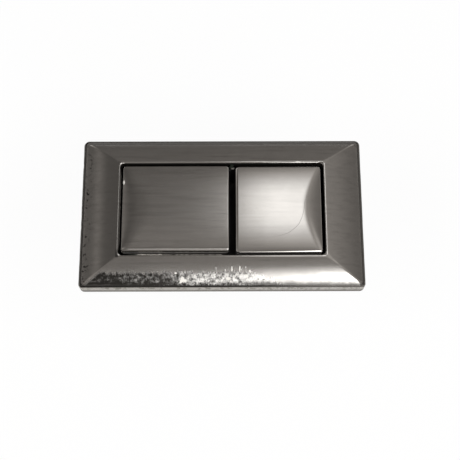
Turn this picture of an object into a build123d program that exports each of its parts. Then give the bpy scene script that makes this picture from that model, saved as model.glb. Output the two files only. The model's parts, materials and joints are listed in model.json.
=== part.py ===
from build123d import *
from math import asin, degrees
import os

# Buttons, in millimetres
full_button_length = 31.6
half_button_length = 25.5
button_depth = 27.3
button_proud = -0.1
crown_rise = 1.2
end_facet_length = 5.0
button_skirt = 5.6
button_wall = 1.6
button_corner_radius = 0.9
button_chamfer = 0.6
button_rib = 1.2
button_rib_drop = 1.4
button_boss_wall = 1.8
running_gap = 0.9
split_gap = 1.9
press_travel = 5.0
press_stop_gap = 0.3
press_room = 2.4

# Bezel frame
side_border = 11.6
end_border = 9.05
flange_height = 2.2
flange_ledge = 0.8
flange_corner_radius = 1.6
corner_margin = 0.04
flange_chamfer = 0.3
riser_height = 0.7
bevel_rise = 3.4
bevel_mid_in = 0.40
bevel_mid_up = 0.525
bezel_wall = 1.8
window_corner_radius = 1.3
rim_land = 0.5
rim_chamfer = 0.25
collar_wall = 1.6
bezel_rib = 1.2
bezel_rib_pitch = 22.0
bezel_rib_gap = 0.3

# Seal between the plate and the cistern lid
gasket_thickness = 1.0
gasket_inset = 0.1
gasket_neck_gap = 0.5

# Guide tray that hangs through the lid
tray_floor = 2.0
tray_flange = 1.6
tray_flange_gap = 0.3
tray_web = 1.6
tray_web_drop = 4.0
guide_wall = 1.2
guide_drop = 10.0
drain_slot_length = 9.0
drain_slot_width = 4.0
drain_slot_offset = 9.6

# Snap catches that hold the tray in the bezel
snap_width = 6.0
snap_leg = 1.2
snap_catch = 0.6
snap_catch_height = 0.9
snap_nose_height = 0.6
snap_gap = 0.1
snap_pitch = 16.0
snap_level = 0.7

# Plungers
stem_diameter = 8.0
stem_running_gap = 0.09
stem_tail = 4.4
plunger_disc = 1.6
plunger_disc_margin = 0.4
spigot_width = 4.6
spigot_height = 1.7
spigot_gap = 0.03
spigot_end_gap = 0.05
barb_reach = 0.9
barb_height = 2.2
barb_width = 4.4
barb_stop_gap = 0.1
stem_slot_width = 1.4
stem_slot_run = 6.0

# Return springs
spring_wire = 0.9
spring_turns = 4.5
spring_runs_per_turn = 10
spring_guide_gap = 0.4
spring_end_gap = 0.05

# Adjustable rods, lock nuts and feet
rod_diameter = 6.0
rod_reach = 34.0
rod_overlap = 12.0
rod_gap = 0.05
lock_nut_across = 10.0
lock_nut_height = 4.0
foot_across = 10.0
foot_height = 7.0
foot_sole = 3.0

# Lid clamps
stud_diameter = 4.0
stud_head_across = 7.0
stud_head_height = 2.8
stud_length = 24.0
stud_gap = 0.1
stud_wall_gap = 0.5
stud_row = 8.0
socket_wall = 1.2
socket_height = 1.8
claw_width = 10.0
claw_thickness = 3.2
claw_heel = 1.8
claw_heel_height = 2.0
claw_grip = 8.0
claw_inner_reach = 4.4
claw_chamfer = 1.0
lid_hole_gap = 0.8
wing_hub_diameter = 8.0
wing_hub_height = 4.5
wing_span = 19.0
wing_height = 8.0
wing_thickness = 2.0
wing_tip_chamfer = 1.2

# Levels above the lid
bezel_bottom = gasket_thickness
flange_top = bezel_bottom + flange_height
bevel_foot = flange_top + riser_height
rim_top = bevel_foot + bevel_rise
tray_flange_top = bezel_bottom + tray_flange
button_edge = rim_top + button_proud
button_top = button_edge + crown_rise
skirt_bottom = button_edge - button_skirt

# Levels inside the plate and below the lid
ceiling = button_top - button_wall
disc_top = ceiling - spigot_height - spigot_end_gap
disc_bottom = disc_top - plunger_disc
guide_top = disc_bottom - press_travel - press_stop_gap
floor_top = skirt_bottom - press_travel - press_room - stud_head_height
floor_bottom = floor_top - tray_floor
guide_bottom = floor_bottom - guide_drop
barb_top = guide_bottom - barb_stop_gap
stem_bottom = barb_top - stem_tail
rod_top = stem_bottom + rod_overlap
rod_bottom = rod_top - rod_reach
claw_top = floor_bottom - claw_heel_height
claw_bottom = claw_top - claw_thickness
cavity_top = rim_top - bezel_wall
snap_top = tray_flange_top + snap_level * (cavity_top - tray_flange_top)
catch_top = snap_top - snap_nose_height

# Plan sizes, added up from the buttons outward
window_length = full_button_length + split_gap + half_button_length + 2 * running_gap
window_depth = button_depth + 2 * running_gap
plate_length = window_length + 2 * side_border
plate_depth = window_depth + 2 * end_border
collar_length = window_length + 2 * collar_wall
collar_depth = window_depth + 2 * collar_wall
hump_length = plate_length - 2 * flange_ledge
hump_depth = plate_depth - 2 * flange_ledge
cavity_length = hump_length - 2 * bezel_wall
cavity_depth = hump_depth - 2 * bezel_wall
full_left = running_gap - window_length / 2
full_right = full_left + full_button_length
half_left = full_right + split_gap
half_right = half_left + half_button_length
full_rod_x = (full_left + full_right) / 2
half_rod_x = (half_left + half_right) / 2
rod_places = [full_rod_x, half_rod_x]
guide_bore = stem_diameter + 2 * stem_running_gap
guide_outer = guide_bore + 2 * guide_wall
spring_diameter = guide_outer + 2 * spring_guide_gap + spring_wire
plunger_disc_diameter = spring_diameter + spring_wire + 2 * plunger_disc_margin
drain_slot_x = full_right - drain_slot_length
snap_places = [(end, y) for end in (0, 180) for y in (-snap_pitch / 2, snap_pitch / 2)]
stud_x = window_length / 2 - stud_head_across / 2 - stud_wall_gap
stud_places = {"left": (-stud_x, -stud_row), "right": (stud_x, stud_row)}


def prism(length, depth, radius, bottom, top):
    """Upright block with rounded corners, centred in plan."""
    outline = RectangleRounded(length, depth, radius)
    return Pos(0, 0, bottom) * extrude(outline, top - bottom)


def disc(diameter, bottom, top):
    """Upright cylinder between two levels on the centre line."""
    return Pos(0, 0, bottom) * extrude(Circle(diameter / 2), top - bottom)


def bar(length, depth, bottom, top):
    """Upright square-cornered block, centred in plan."""
    return Pos(0, 0, bottom) * extrude(Rectangle(length, depth), top - bottom)


def hexagon(across):
    """Hexagon outline with two flats facing along X."""
    return RegularPolygon(across / 2, 6, major_radius=False, rotation=30)


# Convex bevel, mitred at the corners


def bevel_section(half_base, half_top, base, foot, top):
    """Riser, convex slope and flat top of one cross-section, as a face in its own plane."""
    mid_across = half_base - bevel_mid_in * (half_base - half_top)
    mid_level = foot + bevel_mid_up * (top - foot)
    right_slope = ThreePointArc((half_base, foot), (mid_across, mid_level), (half_top, top))
    left_slope = ThreePointArc((-half_top, top), (-mid_across, mid_level), (-half_base, foot))
    flat_top = Line((half_top, top), (-half_top, top))
    left_riser = Line((-half_base, foot), (-half_base, base))
    bottom = Line((-half_base, base), (half_base, base))
    right_riser = Line((half_base, base), (half_base, foot))
    return make_face([right_slope, flat_top, left_slope, left_riser, bottom, right_riser])


def mitred_hump(length, depth, top_length, top_depth, base, foot, top):
    """Two crossed bevel sections; where they meet they form straight mitres."""
    end_view = bevel_section(depth / 2, top_depth / 2, base, foot, top)
    front_view = bevel_section(length / 2, top_length / 2, base, foot, top)
    along = extrude(Plane.YZ * end_view, length / 2, both=True)
    across = extrude(Plane.XZ * front_view, depth / 2, both=True)
    return along & across


def make_bezel_frame():
    """Plated shell: flange, riser, mitred bevel, window collar, ribs and snap catches."""
    flange = prism(plate_length, plate_depth, flange_corner_radius, bezel_bottom, flange_top)
    flange = chamfer(flange.faces().sort_by(Axis.Z)[-1].edges(), flange_chamfer)
    land_length = window_length + 2 * rim_land
    land_depth = window_depth + 2 * rim_land
    hump = mitred_hump(hump_length, hump_depth, land_length, land_depth, bezel_bottom, bevel_foot, rim_top)
    # The rounding stands a little outside the straight sides, so that it cuts the corners only
    hump &= prism(
        hump_length + 2 * corner_margin,
        hump_depth + 2 * corner_margin,
        flange_corner_radius - flange_ledge / 2,
        bezel_bottom,
        rim_top,
    )
    window = prism(window_length, window_depth, window_corner_radius, bezel_bottom, rim_top)
    pierced = hump - window
    land = pierced.faces().filter_by(Axis.Z).sort_by(Axis.Z)[-1]
    pierced = chamfer(land.inner_wires()[0].edges(), rim_chamfer)

    cavity_foot = bevel_foot - bezel_wall / 2
    cavity = mitred_hump(
        cavity_length, cavity_depth, collar_length, collar_depth, bezel_bottom, cavity_foot, cavity_top
    )
    collar = prism(collar_length, collar_depth, window_corner_radius + collar_wall, tray_flange_top, rim_top)
    channel = cavity - collar
    rib_bottom = tray_flange_top + bezel_rib_gap
    rib_row = [-bezel_rib_pitch, 0, bezel_rib_pitch]
    for x in rib_row:
        channel -= Pos(x, 0, 0) * bar(bezel_rib, cavity_depth, rib_bottom, rim_top)
    for end, y in snap_places:
        channel -= Pos(0, y, 0) * Rot(0, 0, end) * snap_block(
            [(0, catch_top), (snap_catch, catch_top), (0, catch_top - snap_catch_height)]
        )
    return flange + pierced - channel - window


def snap_block(points):
    """Block as wide as a snap catch, from a section drawn outward from the collar's end face."""
    section = make_face(Polyline(*[(collar_length / 2 + x, z) for x, z in points], close=True))
    return extrude(Plane.XZ * section, snap_width / 2, both=True)


def make_lid_gasket():
    """Flat foam ring under the flange, open round the neck."""
    outline = prism(
        plate_length - 2 * gasket_inset,
        plate_depth - 2 * gasket_inset,
        flange_corner_radius - gasket_inset,
        0,
        gasket_thickness,
    )
    neck_hole = prism(
        collar_length + 2 * gasket_neck_gap,
        collar_depth + 2 * gasket_neck_gap,
        window_corner_radius + collar_wall + gasket_neck_gap,
        0,
        gasket_thickness,
    )
    return outline - neck_hole


def make_guide_tray():
    """Moulded carrier: flange in the bezel, neck through the lid, floor with two guide tubes."""
    flange = prism(
        cavity_length - 2 * tray_flange_gap,
        cavity_depth - 2 * tray_flange_gap,
        flange_corner_radius,
        bezel_bottom,
        tray_flange_top,
    )
    neck_corner_radius = window_corner_radius + collar_wall
    neck = prism(collar_length, collar_depth, neck_corner_radius, floor_bottom, tray_flange_top)
    well = prism(window_length, window_depth, window_corner_radius, floor_top, tray_flange_top)
    tray = flange + neck - well
    tube_gap = half_rod_x - full_rod_x
    web_centre = (full_rod_x + half_rod_x) / 2
    web_bottom = floor_bottom - tray_web_drop
    tray += Pos(web_centre, 0, 0) * bar(tube_gap, tray_web, web_bottom, floor_bottom)
    for x in rod_places:
        tray += Pos(x, 0, 0) * bar(tray_web, window_depth, web_bottom, floor_bottom)
        tray += Pos(x, 0, 0) * disc(guide_outer, guide_bottom, guide_top)
    for x in rod_places:
        tray -= Pos(x, 0, 0) * disc(guide_bore, guide_bottom, guide_top)
    for x, y in stud_places.values():
        socket_across = stud_head_across + 2 * stud_gap
        socket = hexagon(socket_across + 2 * socket_wall) - hexagon(socket_across)
        tray += Pos(x, y, floor_top) * extrude(socket, socket_height)
        tray -= Pos(x, y, 0) * disc(stud_diameter + 2 * stud_gap, floor_bottom, floor_top)
    for side in (-1, 1):
        slot = bar(drain_slot_length, drain_slot_width, floor_bottom, floor_top)
        tray -= Pos(drain_slot_x, side * drain_slot_offset, 0) * slot
    leg_inner = snap_catch + snap_gap
    leg_outer = leg_inner + snap_leg
    leg = [
        (leg_inner, tray_flange_top),
        (leg_outer, tray_flange_top),
        (leg_outer, snap_top),
        (snap_gap, snap_top),
        (snap_gap, catch_top),
        (leg_inner, catch_top),
    ]
    for end, y in snap_places:
        tray += Pos(0, y, 0) * Rot(0, 0, end) * snap_block(leg)
    return tray


# Buttons


def facet_block(inner, outer, depth, bottom, edge, top):
    """Block as deep as the button whose top falls away to its outer end."""
    facet_start = outer - end_facet_length * (outer - inner) / abs(outer - inner)
    side = Polyline(
        (inner, bottom), (outer, bottom), (outer, edge), (facet_start, top), (inner, top), close=True
    )
    return extrude(Plane.XZ * make_face(side), depth / 2, both=True)


def vault_block(inner, outer, depth, bottom, edge, top):
    """Block with a barrel vault along X."""
    half = depth / 2
    section = make_face(
        [
            Line((-half, bottom), (half, bottom)),
            Line((half, bottom), (half, edge)),
            ThreePointArc((half, edge), (0, top), (-half, edge)),
            Line((-half, edge), (-half, bottom)),
        ]
    )
    vault = extrude(Plane.YZ * section, abs(outer - inner) / 2, both=True)
    return Pos((inner + outer) / 2, 0, 0) * vault


def edge_breaker(inner, outer):
    """Block that takes a button's sharp edges off: flat at its sides and outer end, turned at the split."""
    half = button_depth / 2
    length = abs(outer - inner)
    facing = (outer - inner) / length
    low = button_edge - button_chamfer
    drop = button_top - low
    across = Polyline(
        (-half, skirt_bottom), (half, skirt_bottom), (half, low), (half - drop, button_top),
        (drop - half, button_top), (-half, low), close=True
    )
    along = Polyline(
        (inner, skirt_bottom), (outer, skirt_bottom), (outer, low), (outer - facing * drop, button_top),
        (inner, button_top), close=True
    )
    split_end = Polyline(
        (inner, skirt_bottom - 2 * crown_rise),
        (outer, skirt_bottom - 2 * crown_rise),
        (outer, button_top + crown_rise),
        (inner + facing * (crown_rise + button_chamfer), button_top + crown_rise),
        (inner, button_top - button_chamfer), close=True
    )
    vault_radius = (half**2 + crown_rise**2) / (2 * crown_rise)
    vault_axis = Axis((0, 0, button_top - vault_radius), (1, 0, 0))
    swing = 4 * degrees(asin(half / vault_radius))
    sides = Pos((inner + outer) / 2, 0, 0) * extrude(Plane.YZ * make_face(across), length / 2, both=True)
    outer_end = extrude(Plane.XZ * make_face(along), half, both=True)
    inner_end = revolve(Plane.XZ * make_face(split_end), vault_axis, swing).rotate(vault_axis, -swing / 2)
    return sides & outer_end & inner_end


def make_button(inner, outer, rod_x):
    """Hollow button cap with a ribbed ceiling and a boss for the plunger's spigot."""
    levels = (skirt_bottom, button_edge, button_top)
    cap = vault_block(inner, outer, button_depth, *levels)
    cap &= facet_block(inner, outer, button_depth, *levels)
    cap &= edge_breaker(inner, outer)
    cap &= Pos((inner + outer) / 2, 0, 0) * prism(
        abs(outer - inner), button_depth, button_corner_radius, skirt_bottom, button_top
    )

    inward = button_wall * (outer - inner) / abs(outer - inner)
    hollow_ends = (inner + inward, outer - inward)
    hollow_depth = button_depth - 2 * button_wall
    hollow_levels = (skirt_bottom, button_edge - button_wall, ceiling)
    hollow = vault_block(*hollow_ends, hollow_depth, *hollow_levels)
    hollow &= facet_block(*hollow_ends, hollow_depth, *hollow_levels)

    rib_bottom = ceiling - button_rib_drop
    ribs = Pos((inner + outer) / 2, 0, 0) * bar(abs(outer - inner), button_rib, rib_bottom, ceiling)
    ribs += Pos(rod_x, 0, 0) * bar(button_rib, button_depth, rib_bottom, ceiling)
    boss_width = spigot_width + 2 * button_boss_wall
    socket_width = spigot_width + 2 * spigot_gap
    boss = Pos(rod_x, 0, 0) * bar(boss_width, boss_width, disc_top, ceiling)
    hollow -= ribs + boss
    hollow += Pos(rod_x, 0, 0) * bar(socket_width, socket_width, disc_top, ceiling)
    return cap - hollow


def make_plunger(rod_x):
    """Moulded plunger: square spigot, spring disc, hollow stem and a slit end with two snap hooks."""
    body = disc(plunger_disc_diameter, disc_bottom, disc_top) + disc(stem_diameter, stem_bottom, disc_bottom)
    body += bar(spigot_width, spigot_width, disc_top, disc_top + spigot_height)
    stem = stem_diameter / 2
    hook = make_face(
        Polyline(
            (0, barb_top),
            (stem + barb_reach, barb_top),
            (stem, barb_top - barb_height),
            (0, barb_top - barb_height),
            close=True,
        )
    )
    for side in (0, 180):
        body += Rot(0, 0, side) * extrude(Plane.YZ * hook, barb_width / 2, both=True)
    body -= disc(rod_diameter + 2 * rod_gap, stem_bottom, rod_top + rod_gap)
    body -= bar(stem_diameter, stem_slot_width, stem_bottom, stem_bottom + stem_slot_run)
    return Pos(rod_x, 0, 0) * body


def make_spring(rod_x):
    """Return spring between the tray floor and the plunger's disc: six-sided wire in short straight runs."""
    height = disc_bottom - floor_top - spring_wire - 2 * spring_end_gap
    start = floor_top + spring_wire / 2 + spring_end_gap
    helix = Helix(height / spring_turns, height, spring_diameter / 2)
    runs = round(spring_turns * spring_runs_per_turn)
    path = Polyline(*[helix @ (step / runs) for step in range(runs + 1)])
    wire = Plane(path @ 0, x_dir=(1, 0, 0), z_dir=path % 0) * RegularPolygon(spring_wire / 2, 6)
    return Pos(rod_x, 0, start) * sweep(wire, path, transition=Transition.RIGHT)


def make_rod(rod_x):
    """Adjustable push rod, plain under its fine thread."""
    return Pos(rod_x, 0, 0) * disc(rod_diameter, rod_bottom, rod_top)


def make_lock_nut(rod_x):
    """Nut that jams the rod against the plunger's end."""
    outline = hexagon(lock_nut_across) - Circle(rod_diameter / 2 + rod_gap)
    return Pos(rod_x, 0, stem_bottom - lock_nut_height) * extrude(outline, lock_nut_height)


def make_foot(rod_x):
    """Push-on hexagonal foot, blind-bored for the rod's end."""
    bottom = rod_bottom - foot_sole
    foot = Pos(0, 0, bottom) * extrude(hexagon(foot_across), foot_height)
    foot -= disc(rod_diameter + 2 * rod_gap, rod_bottom - rod_gap, bottom + foot_height)
    return Pos(rod_x, 0, 0) * foot


# Lid clamps


def make_stud(place):
    """Hexagon-headed stud, held by its head in the tray's socket."""
    head = extrude(hexagon(stud_head_across), stud_head_height)
    shank = disc(stud_diameter, -stud_length, 0)
    return Pos(*place, floor_top) * (head + shank)


def make_claw(place):
    """Clamp bar: heel on the tray floor, toe under the lid, one hole for the stud."""
    x, y = place
    toe = collar_length / 2 + lid_hole_gap + claw_grip - abs(x)
    profile = Polyline(
        (-claw_inner_reach, floor_bottom),
        (-claw_inner_reach, claw_bottom),
        (toe, claw_bottom),
        (toe, claw_top),
        (claw_heel - claw_inner_reach, claw_top),
        (claw_heel - claw_inner_reach, floor_bottom),
        close=True,
    )
    claw = extrude(Plane.XZ * make_face(profile), claw_width / 2, both=True)
    toe_edges = claw.edges().filter_by(Axis.Z).sort_by(Axis.X)[-2:]
    claw = chamfer(toe_edges, claw_chamfer)
    claw -= disc(stud_diameter + 2 * stud_gap, claw_bottom, claw_top)
    facing = 0 if x > 0 else 180
    return Pos(x, y, 0) * Rot(0, 0, facing) * claw


def make_wing_nut(place):
    """Wing nut: round hub and two rounded wings in line with the plate's length."""
    x, y = place
    hub = disc(wing_hub_diameter, -wing_hub_height, 0)
    wing_outline = make_face(
        Polyline(
            (-wing_hub_diameter / 4, -wing_hub_height / 4),
            (wing_hub_diameter / 4, -wing_hub_height / 4),
            (wing_span / 2, -wing_height / 2),
            (wing_span / 2, -wing_height),
            (wing_span / 2 - wing_hub_diameter / 2, -wing_height),
            (wing_hub_diameter / 4, -wing_hub_height),
            (-wing_hub_diameter / 4, -wing_hub_height),
            (wing_hub_diameter / 2 - wing_span / 2, -wing_height),
            (-wing_span / 2, -wing_height),
            (-wing_span / 2, -wing_height / 2),
            close=True,
        )
    )
    wings = extrude(Plane.XZ * wing_outline, wing_thickness / 2, both=True)
    tip_edges = wings.edges().filter_by(Axis.Y).sort_by(Axis.Z)[:4]
    wings = chamfer(tip_edges, wing_tip_chamfer)
    nut = hub + wings
    nut -= disc(stud_diameter + 2 * stud_gap, -wing_height, 0)
    return Pos(x, y, claw_bottom) * nut


pieces = {
    "bezel_frame": make_bezel_frame(),
    "lid_gasket": make_lid_gasket(),
    "guide_tray": make_guide_tray(),
    "full_flush_button": make_button(full_right, full_left, full_rod_x),
    "half_flush_button": make_button(half_left, half_right, half_rod_x),
}
for name, rod_x in (("full_flush", full_rod_x), ("half_flush", half_rod_x)):
    pieces[name + "_plunger"] = make_plunger(rod_x)
    pieces[name + "_spring"] = make_spring(rod_x)
    pieces[name + "_rod"] = make_rod(rod_x)
    pieces[name + "_lock_nut"] = make_lock_nut(rod_x)
    pieces[name + "_foot"] = make_foot(rod_x)
for side, place in stud_places.items():
    pieces["fixing_stud_" + side] = make_stud(place)
    pieces["clamp_claw_" + side] = make_claw(place)
    pieces["wing_nut_" + side] = make_wing_nut(place)

os.makedirs("parts", exist_ok=True)
for node, piece in pieces.items():
    export_step(piece, "parts/" + node + ".step")
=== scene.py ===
import bpy
import bmesh
import json
import random
from math import atan2, cos, hypot, pi, radians, sin, sqrt
from mathutils import Matrix, Vector, noise
from types import SimpleNamespace


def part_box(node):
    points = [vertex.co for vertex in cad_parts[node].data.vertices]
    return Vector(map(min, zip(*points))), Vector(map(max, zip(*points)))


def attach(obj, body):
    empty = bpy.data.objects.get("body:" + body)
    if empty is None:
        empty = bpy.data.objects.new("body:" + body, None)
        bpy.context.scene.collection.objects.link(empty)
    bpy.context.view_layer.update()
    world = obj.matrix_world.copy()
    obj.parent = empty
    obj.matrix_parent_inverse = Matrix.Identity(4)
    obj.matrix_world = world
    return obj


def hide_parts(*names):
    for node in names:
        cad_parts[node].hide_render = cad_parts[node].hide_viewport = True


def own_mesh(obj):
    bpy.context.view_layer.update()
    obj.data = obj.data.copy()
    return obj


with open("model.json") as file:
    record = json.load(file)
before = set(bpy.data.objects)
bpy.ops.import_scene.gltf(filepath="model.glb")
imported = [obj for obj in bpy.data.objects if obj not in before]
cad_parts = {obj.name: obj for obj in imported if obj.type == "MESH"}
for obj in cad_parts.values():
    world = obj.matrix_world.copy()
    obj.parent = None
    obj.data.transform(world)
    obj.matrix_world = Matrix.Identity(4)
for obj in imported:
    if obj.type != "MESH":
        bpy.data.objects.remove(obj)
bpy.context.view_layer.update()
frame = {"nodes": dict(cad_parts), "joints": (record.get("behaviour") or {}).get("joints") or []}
mm = 0.001
print("frame loaded:", len(frame["nodes"]), "nodes")


# shader wiring

def bothWays(operation):  # an operator and its reflected form
    return (lambda wire, other: wire.maths(operation, wire, other),
            lambda wire, other: wire.maths(operation, other, wire))


class Wire:  # one socket, whose arithmetic adds Math nodes
    def __init__(self, tree, socket):
        self.tree = tree
        self.socket = socket

    def maths(self, operation, first, second=None):
        box = self.tree.nodes.new("ShaderNodeMath")
        box.operation = operation
        for place, value in enumerate((first, second)):
            if isinstance(value, Wire):
                self.tree.links.new(value.socket, box.inputs[place])
            elif value is not None:
                box.inputs[place].default_value = value
        return Wire(self.tree, box.outputs[0])

    __add__, __radd__ = bothWays("ADD")
    __sub__, __rsub__ = bothWays("SUBTRACT")
    __mul__, __rmul__ = bothWays("MULTIPLY")
    __truediv__, __rtruediv__ = bothWays("DIVIDE")
    __pow__, __rpow__ = bothWays("POWER")

    def __abs__(self):
        return self.maths("ABSOLUTE", self)

    def least(self, other):
        return self.maths("MINIMUM", self, other)

    def most(self, other):
        return self.maths("MAXIMUM", self, other)


class Sheet:  # one node tree, and the ways to fill it
    def __init__(self, owner):
        owner.use_nodes = True
        self.owner = owner
        self.tree = owner.node_tree
        self.tree.nodes.clear()

    def add(self, kind, sockets=None, settings=None, out=0):
        box = self.tree.nodes.new("ShaderNode" + kind)
        for key, value in (settings or {}).items():
            if key == "stops":
                ramp = box.color_ramp.elements
                while len(ramp) < len(value):
                    ramp.new(0.5)
                for stop, (place, colour) in zip(ramp, value):
                    stop.position = place
                    stop.color = (*colour, 1.0)
            else:
                setattr(box, key, value)
        for key, value in (sockets or {}).items():
            if isinstance(value, Wire):
                self.tree.links.new(value.socket, box.inputs[key])
            else:
                box.inputs[key].default_value = value
        if isinstance(out, tuple):
            return [Wire(self.tree, box.outputs[key]) for key in out]
        return Wire(self.tree, box.outputs[out]) if len(box.outputs) else None

    def ramp(self, value, low, high, lowTo=0.0, highTo=1.0):  # smooth step between two values
        sockets = {"Value": value, "From Min": low, "From Max": high, "To Min": lowTo, "To Max": highTo}
        return self.add("MapRange", sockets, {"interpolation_type": "SMOOTHSTEP"})

    def band(self, value, rise, full, fade, end):  # up from rise to full, down from fade to end
        return self.ramp(value, rise, full) * self.ramp(value, end, fade)

    def blend(self, share, first, second):  # two colours, each a wire or a triple
        first, second = (v if isinstance(v, Wire) else (*v, 1.0) for v in (first, second))
        return self.add("Mix", {0: share, 6: first, 7: second}, {"data_type": "RGBA"}, out=2)

    def place(self):  # object coordinates in millimetres
        where = self.add("TexCoord", out=3)
        return self.add("VectorMath", {0: where, "Scale": 1000.0}, {"operation": "SCALE"})

    def parts(self, vector):
        return self.add("SeparateXYZ", {0: vector}, out=(0, 1, 2))

    def cloud(self, vector, scale, detail=3.0, rough=0.55):  # noise round 0.5, stretched by a triple
        if isinstance(scale, tuple):
            vector = self.add("VectorMath", {0: vector, 1: scale}, {"operation": "MULTIPLY"})
            scale = 1.0
        return self.add("TexNoise", {"Vector": vector, "Scale": scale, "Detail": detail, "Roughness": rough})

    def bump(self, height, distance):
        return self.add("Bump", {"Height": height, "Distance": distance})

    def skin(self, **sockets):
        names = {"colour": "Base Color", "rough": "Roughness", "metal": "Metallic", "normal": "Normal",
                 "specular": "Specular IOR Level"}
        return self.add("BsdfPrincipled", {names[key]: value for key, value in sockets.items()})

    def output(self, shader):
        self.add("OutputMaterial", {"Surface": shader})
        return self.owner

    def surface(self, **sockets):  # one skin all over
        return self.output(self.skin(**sockets))

    def covered(self, share, under, over):  # one skin lying on another
        return self.output(self.add("MixShader", {0: share, 1: under, 2: over}))


def newFinish(name):
    return Sheet(bpy.data.materials.new(name))


def grey(level, warm=0.0):
    return level * (1 + warm), level, level * (1 - warm)


def scaled(colour, share):
    return tuple(v * share for v in colour)


# mesh helpers

softening = {"merge": 0.001, "flat": 1.5, "turn": 32.0, "shade": 30.0}  # mm, then degrees


def clamp(value):
    return min(1.0, max(0.0, value))


def between(first, second, share):
    return [a + (b - a) * share for a, b in zip(first, second)]


def quarterTurn(steps):  # the angles of a quarter circle
    return [radians(90 * k / steps) for k in range(steps + 1)]


def circle(sides):  # the angles of a whole one
    return [2 * pi * s / sides for s in range(sides)]


def wave(*spot):
    return noise.noise(Vector(spot))


def boxMm(node):
    return [[v * 1000 for v in corner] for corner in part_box(node)]


def newObject(name, data):
    thing = bpy.data.objects.new(name, data)
    bpy.context.scene.collection.objects.link(thing)
    return thing


def dress(name, mesh, material, body, nodes, smooth):
    work = bmesh.new()
    work.from_mesh(mesh)
    bmesh.ops.recalc_face_normals(work, faces=work.faces)
    work.to_mesh(mesh)
    work.free()
    mesh.shade_smooth()
    mesh.set_sharp_from_angle(angle=radians(smooth))
    mesh.materials.clear()
    mesh.materials.append(material)
    piece = newObject(name, mesh)
    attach(piece, body)
    if nodes:
        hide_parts(*nodes)
    return piece


def newPiece(name, points, faces, material, body, nodes, slot, smooth):
    mesh = bpy.data.meshes.new(name)
    mesh.from_pydata([(x * mm, y * mm, z * mm) for x, y, z in points], [], faces)
    return dress(name, mesh, material, body, nodes, smooth)


def softened(node, material, body, width, segments=2):  # the solid again, with its edges broken
    mesh = frame["nodes"][node].data.copy()
    mesh.name = node + "_soft"
    work = bmesh.new()
    work.from_mesh(mesh)
    bmesh.ops.remove_doubles(work, verts=work.verts, dist=softening["merge"] * mm)
    flat, turn = radians(softening["flat"]), radians(softening["turn"])
    bmesh.ops.dissolve_limit(work, angle_limit=flat, verts=work.verts, edges=work.edges)
    sharp = [edge for edge in work.edges if len(edge.link_faces) == 2 and edge.calc_face_angle() > turn]
    bmesh.ops.bevel(work, geom=sharp, offset=width * mm, offset_type="OFFSET", segments=segments,
                    profile=0.5, affect="EDGES", clamp_overlap=True)
    bmesh.ops.triangulate(work, faces=[face for face in work.faces if len(face.verts) > 4])
    work.to_mesh(mesh)
    work.free()
    dress(mesh.name, mesh, material, body, [node], softening["shade"])


def loft(loops, closed=False):
    size = len(loops[0])
    faces = []
    for row in range(len(loops) if closed else len(loops) - 1):
        low, high = row * size, (row + 1) % len(loops) * size
        for k in range(size):
            after = (k + 1) % size
            faces.append((low + k, low + after, high + after, high + k))
    return [point for loop in loops for point in loop], faces


def tube(loops):  # a loft with closed ends
    points, faces = loft(loops)
    size = len(loops[0])
    return points, faces + [tuple(range(size)), tuple(range(len(points) - size, len(points)))]


def joined(meshes):
    points, faces = [], []
    for fresh, skin in meshes:
        faces += [tuple(len(points) + k for k in face) for face in skin]
        points += fresh
    return points, faces


# plated finishes

plating = {
    "tint": (0.585, 0.566, 0.543), "shade": (0.51, 0.493, 0.471),  # clean and dulled plating
    "dirtAndShade": (0.009, 0.008, 0.007), "scale": (0.76, 0.74, 0.70),  # grime, also painted shade in the gaps; lime scale
    "film": (0.15, 0.14, 0.122), "bloom": (0.33, 0.318, 0.295),  # darker tone low on the flange's side and in streaks on its top, dried water on the top
    "veil": (0.10, 0.097, 0.092),  # darker grey low on the front slope
    "etched": (0.80, 0.785, 0.76), "burnt": (0.024, 0.022, 0.020),  # bare and blackened metal
    "dulled": (0.066, 0.062, 0.057),  # painted shade on the edge behind and at the ends
}
brush = {  # scale of each noise, along the axes where it is stretched
    "drift": (0.05, 0.05, 0.05), "streak": (0.03, 0.75, 0.75), "fine": (0.22, 7.0, 7.0),
    "smear": (0.06, 0.85, 0.85), "smudge": 0.16,
}


def brushed(sheet, base, spread, marks=1.0, dim=1.0):  # satin plating: place, colour, roughness, height
    where = sheet.place()
    drift = sheet.cloud(where, brush["drift"], 2.0)
    streak = sheet.cloud(where, brush["streak"], 4.0, 0.62)
    fine = sheet.cloud(where, brush["fine"], 2.0, 0.6)
    smudge = sheet.cloud(where, brush["smudge"], 4.0, 0.62)
    dull = sheet.ramp(smudge, 0.36, 0.66) * 0.55 + sheet.ramp(streak, 0.35, 0.68) * 0.45
    smear = sheet.ramp(sheet.cloud(where, brush["smear"], 5.0, 0.62), 0.46, 0.68) * marks
    clean, soiled = (scaled(plating[key], dim) for key in ("tint", "shade"))
    colour = sheet.blend(dull * marks, clean, soiled)
    colour = sheet.blend(smear * 0.24, colour, scaled(soiled, 0.6))
    rough = base + (dull - 0.5) * spread + (fine - 0.5) * spread * 0.4 + (drift - 0.5) * spread * 0.5
    height = smudge * 0.30 + streak * 0.05 + fine * 0.012
    return where, colour, rough, height


# bezel frame

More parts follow.
